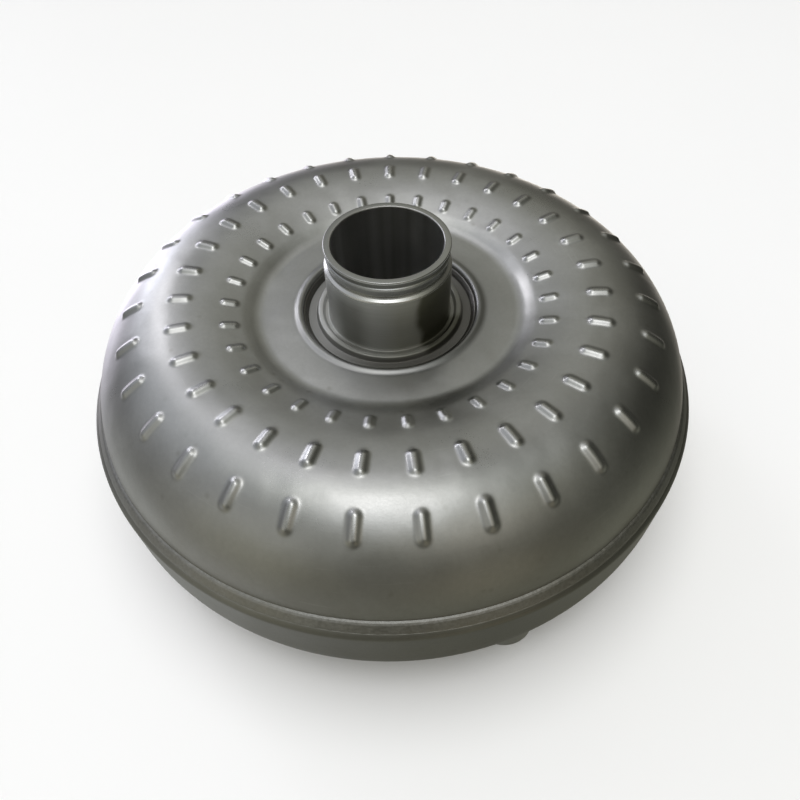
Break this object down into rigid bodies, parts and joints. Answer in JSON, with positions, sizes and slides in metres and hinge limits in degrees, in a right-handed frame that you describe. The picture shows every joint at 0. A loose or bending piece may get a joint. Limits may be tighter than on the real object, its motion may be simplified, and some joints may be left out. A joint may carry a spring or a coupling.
{
  "type": "torque converter",
  "caption": "Welded lock-up torque converter: dimpled pump shell with hub, front cover with drive lugs, and turbine, stator and lock-up clutch inside.",
  "frame": {"origin": "on the axis, at the level of the drive lug faces that it stands on", "axes": "+Z along the axis of rotation, towards the pump hub; one drive lug points along -X"},
  "size_m": [0.262, 0.262, 0.1213],
  "materials": {
    "pressed_steel": "satin, tumbled, faint olive and brown tint low on the wall",
    "turned_steel": "machine turned, fine rings",
    "weld_metal": "smooth weld ripples",
    "cover_steel": "satin, darker, lightly oiled",
    "pilot_steel": "turned",
    "lug_steel": "forged, faced flat",
    "fin_steel": "pressed sheet",
    "bearing_steel": "ground",
    "needle_steel": "polished",
    "cage_steel": "pressed sheet",
    "turbine_steel": "pressed sheet",
    "forged_steel": "machined forging",
    "rivet_steel": "upset heads",
    "plate_steel": "stamped, phosphated",
    "seal_polymer": "filled polymer",
    "spring_steel": "shot peened, oiled",
    "piston_steel": "pressed plate",
    "friction_paper": "grooved friction paper",
    "stator_alloy": "die cast",
    "leaf_steel": "strip",
    "retainer_brass": "stamped",
    "snap_ring_steel": "black spring wire"
  },
  "bodies": {
    "housing": {"impeller_shell": "pressed_steel", "pump_hub": "turned_steel", "hub_weld_bead": "weld_metal", "impeller_fins": "fin_steel", "impeller_core_ring": "fin_steel", "front_cover": "cover_steel", "crank_pilot": "pilot_steel", "drive_lugs": "lug_steel", "seam_weld_bead": "weld_metal", "front_race_on_cover": "bearing_steel", "rear_race_on_hub": "bearing_steel"},
    "turbine": {"turbine_shell": "turbine_steel", "turbine_fins": "fin_steel", "turbine_core_ring": "fin_steel", "turbine_hub": "forged_steel", "turbine_rivets": "rivet_steel", "damper_driven_plate": "plate_steel", "piston_seal_ring": "seal_polymer", "front_race_on_turbine": "bearing_steel", "middle_race_on_turbine": "bearing_steel"},
    "damper": {"damper_drive_plate": "plate_steel", "damper_cover_plate": "plate_steel", "damper_rivets": "rivet_steel", "damper_springs": "spring_steel"},
    "piston": {"lockup_piston": "piston_steel", "friction_lining": "friction_paper"},
    "stator": {"stator_wheel": "stator_alloy", "clutch_outer_race": "forged_steel", "clutch_rollers": "needle_steel", "clutch_springs": "leaf_steel", "stator_front_retainer": "retainer_brass", "stator_rear_retainer": "retainer_brass", "retainer_snap_ring": "snap_ring_steel"},
    "stator_race": {"clutch_inner_race": "forged_steel", "middle_race_on_stator": "bearing_steel", "rear_race_on_stator": "bearing_steel"},
    "front_bearing": {"front_bearing_cage": "cage_steel", "front_needles": "needle_steel"},
    "middle_bearing": {"middle_bearing_cage": "cage_steel", "middle_needles": "needle_steel"},
    "rear_bearing": {"rear_bearing_cage": "cage_steel", "rear_needles": "needle_steel"}
  },
  "joints": [
    {"name": "turbine_spin", "type": "hinge", "parent": "housing", "child": "turbine", "pos_m": [0, 0, 0.04], "axis": [0, 0, 1], "continuous": true},
    {"name": "damper_twist", "type": "hinge", "parent": "turbine", "child": "damper", "pos_m": [0, 0, 0.0305], "axis": [0, 0, 1], "range_deg": [-6, 6], "stiffness_Nm_per_rad": 600, "deforming": ["damper_springs"]},
    {"name": "piston_slide", "type": "slide", "parent": "damper", "child": "piston", "axis": [0, 0, -1], "range_m": [0, 0.0009]},
    {"name": "stator_race_spin", "type": "hinge", "parent": "housing", "child": "stator_race", "pos_m": [0, 0, 0.068], "axis": [0, 0, 1], "continuous": true},
    {"name": "freewheel", "type": "hinge", "parent": "stator_race", "child": "stator", "pos_m": [0, 0, 0.068], "axis": [0, 0, 1], "continuous": true},
    {"name": "front_cage_spin", "type": "hinge", "parent": "housing", "child": "front_bearing", "pos_m": [0, 0, 0.0236], "axis": [0, 0, 1], "continuous": true},
    {"name": "middle_cage_spin", "type": "hinge", "parent": "housing", "child": "middle_bearing", "pos_m": [0, 0, 0.0556], "axis": [0, 0, 1], "continuous": true},
    {"name": "rear_cage_spin", "type": "hinge", "parent": "housing", "child": "rear_bearing", "pos_m": [0, 0, 0.0803], "axis": [0, 0, 1], "continuous": true}
  ],
  "couplings": [
    {"joint": "front_cage_spin", "follows": "turbine_spin", "ratio": 0.5},
    {"joint": "middle_cage_spin", "follows": "turbine_spin", "ratio": 0.5},
    {"joint": "rear_cage_spin", "follows": "stator_race_spin", "ratio": 0.5}
  ]
}
